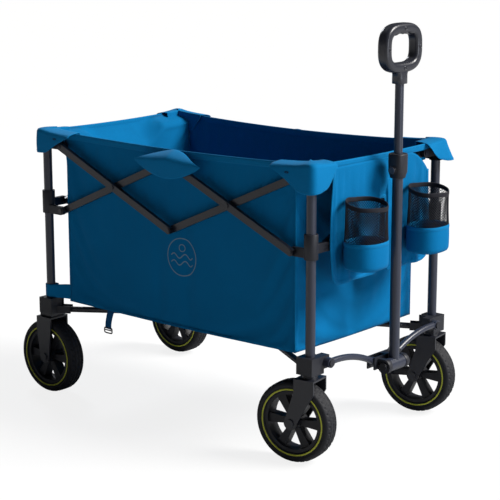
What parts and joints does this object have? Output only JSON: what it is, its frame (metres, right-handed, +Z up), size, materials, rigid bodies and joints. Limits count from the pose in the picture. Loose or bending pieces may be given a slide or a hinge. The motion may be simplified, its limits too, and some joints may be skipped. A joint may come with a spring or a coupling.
{
  "type": "folding beach cart",
  "caption": "Four-wheeled folding cart: a fabric tub on a scissor frame, with swivelling front wheels, rear wheels, cup pockets and a telescoping pull handle.",
  "frame": {"origin": "on the ground, midway between the four corner posts", "axes": "+X to the drawbar end, -Y is the near side, +Z up"},
  "size_m": [0.9842, 0.5287, 0.924],
  "materials": {
    "steel_tube": "semi-gloss charcoal powder coat",
    "steel_arm": "satin charcoal powder coat",
    "bracket_plastic": "moulded charcoal nylon",
    "fork": "satin black powder coat",
    "rim": "moulded black polypropylene",
    "tyre": "moulded black tread",
    "grip": "soft-touch black",
    "collar": "moulded black nylon",
    "button": "moulded grey acetal",
    "tub_cloth": "woven blue polyester",
    "pocket_cloth": "woven blue polyester with black mesh",
    "mat_cloth": "padded black polyester",
    "webbing": "woven black webbing"
  },
  "bodies": {
    "rear_near_corner": {"post_rear_near": "steel_tube", "brackets_rear_near": "bracket_plastic", "fork_rear_near": "fork", "tub_near_side": "tub_cloth", "tub_rear_end": "tub_cloth", "tub_floor": "tub_cloth", "floor_mat": "mat_cloth", "closing_strap": "webbing"},
    "rear_far_corner": {"post_rear_far": "steel_tube", "brackets_rear_far": "bracket_plastic", "fork_rear_far": "fork", "tub_far_side": "tub_cloth"},
    "front_near_corner": {"post_front_near": "steel_tube", "brackets_front_near": "bracket_plastic", "tub_front_end": "tub_cloth", "pocket_panel": "pocket_cloth", "cup_pockets": "pocket_cloth"},
    "front_far_corner": {"post_front_far": "steel_tube", "brackets_front_far": "bracket_plastic", "cap_front_far": "tub_cloth"},
    "rear_near_sleeve": {"sleeve_rear_near": "bracket_plastic"},
    "rear_far_sleeve": {"sleeve_rear_far": "bracket_plastic"},
    "front_near_sleeve": {"sleeve_front_near": "bracket_plastic"},
    "front_far_sleeve": {"sleeve_front_far": "bracket_plastic"},
    "near_arm_a": {"near_arm_a": "steel_arm"},
    "near_arm_b": {"near_arm_b": "steel_arm"},
    "near_arm_c": {"near_arm_c": "steel_arm"},
    "near_arm_d": {"near_arm_d": "steel_arm"},
    "far_arm_a": {"far_arm_a": "steel_arm"},
    "far_arm_b": {"far_arm_b": "steel_arm"},
    "far_arm_c": {"far_arm_c": "steel_arm"},
    "far_arm_d": {"far_arm_d": "steel_arm"},
    "rear_arm_e": {"rear_arm_e": "steel_arm"},
    "rear_arm_f": {"rear_arm_f": "steel_arm"},
    "front_arm_e": {"front_arm_e": "steel_arm"},
    "front_arm_f": {"front_arm_f": "steel_arm"},
    "floor_bar_rear_near": {"floor_bar_rear_near": "steel_arm"},
    "floor_bar_rear_far": {"floor_bar_rear_far": "steel_arm"},
    "floor_bar_front_near": {"floor_bar_front_near": "steel_arm"},
    "floor_bar_front_far": {"floor_bar_front_far": "steel_arm"},
    "floor_hub": {"floor_hub": "bracket_plastic"},
    "link_bar_near": {"link_bar_near": "steel_tube"},
    "link_bar_far": {"link_bar_far": "steel_tube"},
    "draw_block": {"draw_block": "bracket_plastic"},
    "drawbar": {"drawbar_tube": "steel_tube", "drawbar_collar": "collar"},
    "handle_slider": {"sliding_tube": "steel_tube", "grip_front": "grip", "grip_back": "grip"},
    "lock_button": {"lock_button": "button"},
    "caster_near": {"fork_front_near": "fork"},
    "caster_far": {"fork_front_far": "fork"},
    "wheel_rear_near": {"rim_rear_near": "rim", "tyre_rear_near": "tyre"},
    "wheel_rear_far": {"rim_rear_far": "rim", "tyre_rear_far": "tyre"},
    "wheel_front_near": {"rim_front_near": "rim", "tyre_front_near": "tyre"},
    "wheel_front_far": {"rim_front_far": "rim", "tyre_front_far": "tyre"}
  },
  "joints": [
    {"name": "fold", "type": "hinge", "parent": "rear_near_corner", "child": "near_arm_a", "pos_m": [-0.35, -0.228, 0.61], "axis": [0, 1, 0], "range_deg": [0, 45], "deforming": ["tub_near_side", "tub_far_side", "tub_rear_end", "tub_front_end", "cap_front_far", "tub_floor", "floor_mat", "pocket_panel", "cup_pockets", "closing_strap"]},
    {"name": "near_rear_cross", "type": "hinge", "parent": "near_arm_a", "child": "near_arm_b", "pos_m": [-0.175, -0.228, 0.5325], "axis": [0, 1, 0], "range_deg": [-90.01, 0]},
    {"name": "near_mid_pivot", "type": "hinge", "parent": "near_arm_a", "child": "near_arm_c", "pos_m": [0, -0.228, 0.455], "axis": [0, 1, 0], "range_deg": [-90.01, 0]},
    {"name": "near_front_top_pivot", "type": "hinge", "parent": "near_arm_c", "child": "front_near_corner", "pos_m": [0.35, -0.228, 0.61], "axis": [0, 1, 0], "range_deg": [0, 45.01]},
    {"name": "near_front_cross", "type": "hinge", "parent": "near_arm_c", "child": "near_arm_d", "pos_m": [0.175, -0.228, 0.5325], "axis": [0, 1, 0], "range_deg": [0, 90.01]},
    {"name": "near_front_sleeve_pivot", "type": "hinge", "parent": "near_arm_d", "child": "front_near_sleeve", "pos_m": [0.35, -0.228, 0.455], "axis": [0, 1, 0], "range_deg": [-45.01, 0]},
    {"name": "near_rear_sleeve_pivot", "type": "hinge", "parent": "near_arm_b", "child": "rear_near_sleeve", "pos_m": [-0.35, -0.228, 0.455], "axis": [0, 1, 0], "range_deg": [0, 45.01]},
    {"name": "rear_near_top_pivot", "type": "hinge", "parent": "rear_near_corner", "child": "rear_arm_e", "pos_m": [-0.4, -0.175, 0.622], "axis": [1, 0, 0], "range_deg": [-45.01, 0]},
    {"name": "rear_cross", "type": "hinge", "parent": "rear_arm_e", "child": "rear_arm_f", "pos_m": [-0.4, 0, 0.5445], "axis": [1, 0, 0], "range_deg": [0, 90.01]},
    {"name": "rear_far_top_pivot", "type": "hinge", "parent": "rear_arm_f", "child": "rear_far_corner", "pos_m": [-0.4, 0.175, 0.622], "axis": [1, 0, 0], "range_deg": [-45.01, 0]},
    {"name": "rear_far_sleeve_pivot", "type": "hinge", "parent": "rear_arm_e", "child": "rear_far_sleeve", "pos_m": [-0.4, 0.175, 0.467], "axis": [1, 0, 0], "range_deg": [0, 45.01]},
    {"name": "far_rear_top_pivot", "type": "hinge", "parent": "rear_far_corner", "child": "far_arm_a", "pos_m": [-0.35, 0.228, 0.61], "axis": [0, 1, 0], "range_deg": [0, 45.01]},
    {"name": "far_rear_cross", "type": "hinge", "parent": "far_arm_a", "child": "far_arm_b", "pos_m": [-0.175, 0.228, 0.5325], "axis": [0, 1, 0], "range_deg": [-90.01, 0]},
    {"name": "far_mid_pivot", "type": "hinge", "parent": "far_arm_a", "child": "far_arm_c", "pos_m": [0, 0.228, 0.455], "axis": [0, 1, 0], "range_deg": [-90.01, 0]},
    {"name": "far_front_top_pivot", "type": "hinge", "parent": "far_arm_c", "child": "front_far_corner", "pos_m": [0.35, 0.228, 0.61], "axis": [0, 1, 0], "range_deg": [0, 45.01]},
    {"name": "far_front_cross", "type": "hinge", "parent": "far_arm_c", "child": "far_arm_d", "pos_m": [0.175, 0.228, 0.5325], "axis": [0, 1, 0], "range_deg": [0, 90.01]},
    {"name": "far_front_sleeve_pivot", "type": "hinge", "parent": "far_arm_d", "child": "front_far_sleeve", "pos_m": [0.35, 0.228, 0.455], "axis": [0, 1, 0], "range_deg": [-45.01, 0]},
    {"name": "front_near_top_pivot", "type": "hinge", "parent": "front_near_corner", "child": "front_arm_e", "pos_m": [0.4, -0.175, 0.622], "axis": [1, 0, 0], "range_deg": [-45.01, 0]},
    {"name": "front_cross", "type": "hinge", "parent": "front_arm_e", "child": "front_arm_f", "pos_m": [0.4, 0, 0.5445], "axis": [1, 0, 0], "range_deg": [0, 90.01]},
    {"name": "floor_bar_rear_near_pivot", "type": "hinge", "parent": "rear_near_corner", "child": "floor_bar_rear_near", "pos_m": [-0.36351, -0.2072, 0.206], "axis": [0.4952, -0.8688, 0], "range_deg": [0, 68.84]},
    {"name": "floor_hub_pivot", "type": "hinge", "parent": "floor_bar_rear_near", "child": "floor_hub", "pos_m": [-0.05213, -0.02971, 0.214], "axis": [0.4952, -0.8688, 0], "range_deg": [-68.84, 0]},
    {"name": "floor_bar_rear_far_pivot", "type": "hinge", "parent": "rear_far_corner", "child": "floor_bar_rear_far", "pos_m": [-0.36351, 0.2072, 0.206], "axis": [-0.4952, -0.8688, 0], "range_deg": [0, 68.84]},
    {"name": "floor_bar_front_near_pivot", "type": "hinge", "parent": "front_near_corner", "child": "floor_bar_front_near", "pos_m": [0.36351, -0.2072, 0.206], "axis": [0.4952, 0.8688, 0], "range_deg": [0, 68.84]},
    {"name": "floor_bar_front_far_pivot", "type": "hinge", "parent": "front_far_corner", "child": "floor_bar_front_far", "pos_m": [0.36351, 0.2072, 0.206], "axis": [-0.4952, 0.8688, 0], "range_deg": [0, 68.84]},
    {"name": "link_bar_near_pivot", "type": "hinge", "parent": "front_near_corner", "child": "link_bar_near", "pos_m": [0.4286, -0.2, 0.222], "axis": [1, 0, 0], "range_deg": [-57.78, 0]},
    {"name": "draw_block_pivot", "type": "hinge", "parent": "link_bar_near", "child": "draw_block", "pos_m": [0.4286, -0.038, 0.186], "axis": [1, 0, 0], "range_deg": [0, 57.78]},
    {"name": "link_bar_far_pivot", "type": "hinge", "parent": "front_far_corner", "child": "link_bar_far", "pos_m": [0.4286, 0.2, 0.222], "axis": [1, 0, 0], "range_deg": [0, 57.78]},
    {"name": "drawbar_tilt", "type": "hinge", "parent": "draw_block", "child": "drawbar", "pos_m": [0.4553, 0, 0.18], "axis": [0, 1, 0], "range_deg": [0, 90]},
    {"name": "handle_slide", "type": "slide", "parent": "drawbar", "child": "handle_slider", "axis": [0, 0, 1], "range_m": [0, 0.34]},
    {"name": "lock_button_press", "type": "slide", "parent": "drawbar", "child": "lock_button", "axis": [0, 1, 0], "range_m": [0, 0.003], "stiffness_N_per_m": 600, "springref_m": -0.0005},
    {"name": "caster_near_swivel", "type": "hinge", "parent": "front_near_corner", "child": "caster_near", "pos_m": [0.4, -0.228, 0.195], "axis": [0, 0, 1], "continuous": true},
    {"name": "caster_far_swivel", "type": "hinge", "parent": "front_far_corner", "child": "caster_far", "pos_m": [0.4, 0.228, 0.195], "axis": [0, 0, 1], "continuous": true},
    {"name": "wheel_rear_near_spin", "type": "hinge", "parent": "rear_near_corner", "child": "wheel_rear_near", "pos_m": [-0.4, -0.228, 0.09], "axis": [0, 1, 0], "continuous": true},
    {"name": "wheel_rear_far_spin", "type": "hinge", "parent": "rear_far_corner", "child": "wheel_rear_far", "pos_m": [-0.4, 0.228, 0.09], "axis": [0, 1, 0], "continuous": true},
    {"name": "wheel_front_near_spin", "type": "hinge", "parent": "caster_near", "child": "wheel_front_near", "pos_m": [0.36839, -0.23301, 0.09], "axis": [-0.1564, 0.9877, 0], "continuous": true},
    {"name": "wheel_front_far_spin", "type": "hinge", "parent": "caster_far", "child": "wheel_front_far", "pos_m": [0.36839, 0.22299, 0.09], "axis": [-0.1564, 0.9877, 0], "continuous": true}
  ],
  "couplings": [
    {"joint": "near_rear_cross", "follows": "fold", "ratio": -2},
    {"joint": "near_mid_pivot", "follows": "fold", "ratio": -2},
    {"joint": "near_front_top_pivot", "follows": "fold", "ratio": 1},
    {"joint": "near_front_cross", "follows": "fold", "ratio": 2},
    {"joint": "near_front_sleeve_pivot", "follows": "fold", "ratio": -1},
    {"joint": "near_rear_sleeve_pivot", "follows": "fold", "ratio": 1},
    {"joint": "rear_near_top_pivot", "follows": "fold", "ratio": -1},
    {"joint": "rear_cross", "follows": "fold", "ratio": 2},
    {"joint": "rear_far_top_pivot", "follows": "fold", "ratio": -1},
    {"joint": "rear_far_sleeve_pivot", "follows": "fold", "ratio": 1},
    {"joint": "far_rear_top_pivot", "follows": "fold", "ratio": 1},
    {"joint": "far_rear_cross", "follows": "fold", "ratio": -2},
    {"joint": "far_mid_pivot", "follows": "fold", "ratio": -2},
    {"joint": "far_front_top_pivot", "follows": "fold", "ratio": 1},
    {"joint": "far_front_cross", "follows": "fold", "ratio": 2},
    {"joint": "far_front_sleeve_pivot", "follows": "fold", "ratio": -1},
    {"joint": "front_near_top_pivot", "follows": "fold", "ratio": -1},
    {"joint": "front_cross", "follows": "fold", "ratio": 2},
    {"joint": "floor_bar_rear_near_pivot", "follows": "fold", "ratio": 1.5295},
    {"joint": "floor_hub_pivot", "follows": "fold", "ratio": -1.5295},
    {"joint": "floor_bar_rear_far_pivot", "follows": "fold", "ratio": 1.5295},
    {"joint": "floor_bar_front_near_pivot", "follows": "fold", "ratio": 1.5295},
    {"joint": "floor_bar_front_far_pivot", "follows": "fold", "ratio": 1.5295},
    {"joint": "link_bar_near_pivot", "follows": "fold", "ratio": -1.2838},
    {"joint": "draw_block_pivot", "follows": "fold", "ratio": 1.2838},
    {"joint": "link_bar_far_pivot", "follows": "fold", "ratio": 1.2838}
  ]
}
